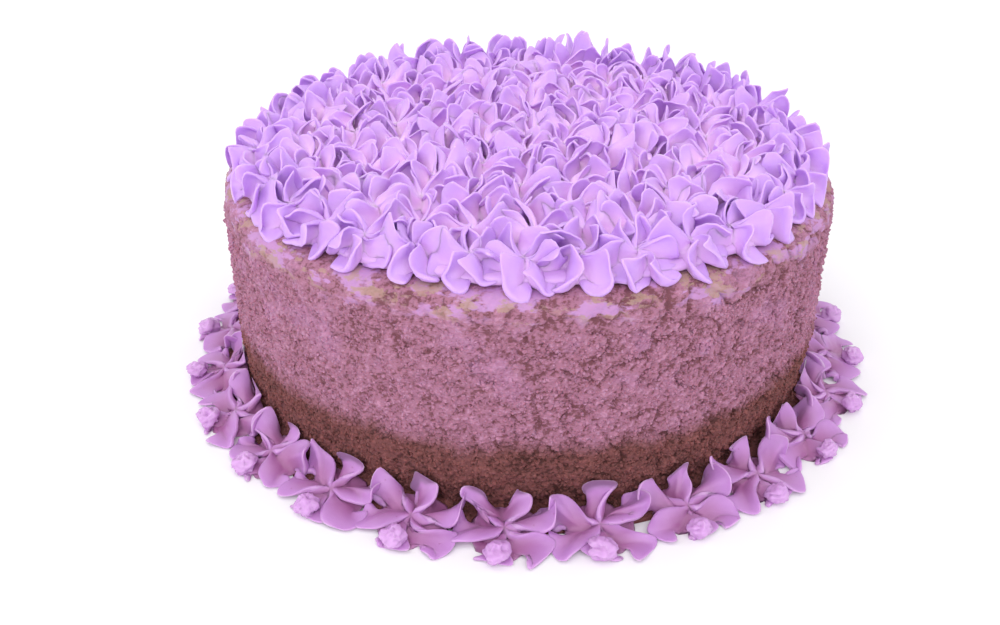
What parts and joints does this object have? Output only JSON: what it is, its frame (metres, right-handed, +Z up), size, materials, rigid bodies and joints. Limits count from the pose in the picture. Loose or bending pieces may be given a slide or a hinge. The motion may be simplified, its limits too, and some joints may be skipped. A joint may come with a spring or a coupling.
{
  "type": "ube layer cake",
  "caption": "Whole round ube cake with crumb-coated sides, a top packed with piped drop flowers and a ring of piped flowers round its foot.",
  "frame": {"origin": "middle of the cake's flat underside, on the surface it stands on", "axes": "+Z up through the middle of the cake; -Y is the side that faces the picture's camera"},
  "size_m": [0.2384, 0.2388, 0.0884],
  "materials": {
    "crumb_coat": "dry, rough cake crumbs",
    "lilac_icing": "satin buttercream"
  },
  "bodies": {
    "root": {"cake_body": "crumb_coat", "top_icing": "lilac_icing", "foot_flower_01": "lilac_icing", "foot_flower_02": "lilac_icing", "foot_flower_03": "lilac_icing", "foot_flower_04": "lilac_icing", "foot_flower_05": "lilac_icing", "foot_flower_06": "lilac_icing", "foot_flower_07": "lilac_icing", "foot_flower_08": "lilac_icing", "foot_flower_09": "lilac_icing", "foot_flower_10": "lilac_icing", "foot_flower_11": "lilac_icing", "foot_flower_12": "lilac_icing", "foot_flower_13": "lilac_icing", "foot_flower_14": "lilac_icing", "foot_flower_15": "lilac_icing", "foot_flower_16": "lilac_icing", "foot_flower_17": "lilac_icing", "foot_flower_18": "lilac_icing", "foot_flower_19": "lilac_icing", "foot_flower_20": "lilac_icing", "foot_flower_21": "lilac_icing", "foot_flower_22": "lilac_icing", "foot_flower_23": "lilac_icing", "foot_flower_24": "lilac_icing", "foot_flower_25": "lilac_icing"}
  },
  "joints": []
}
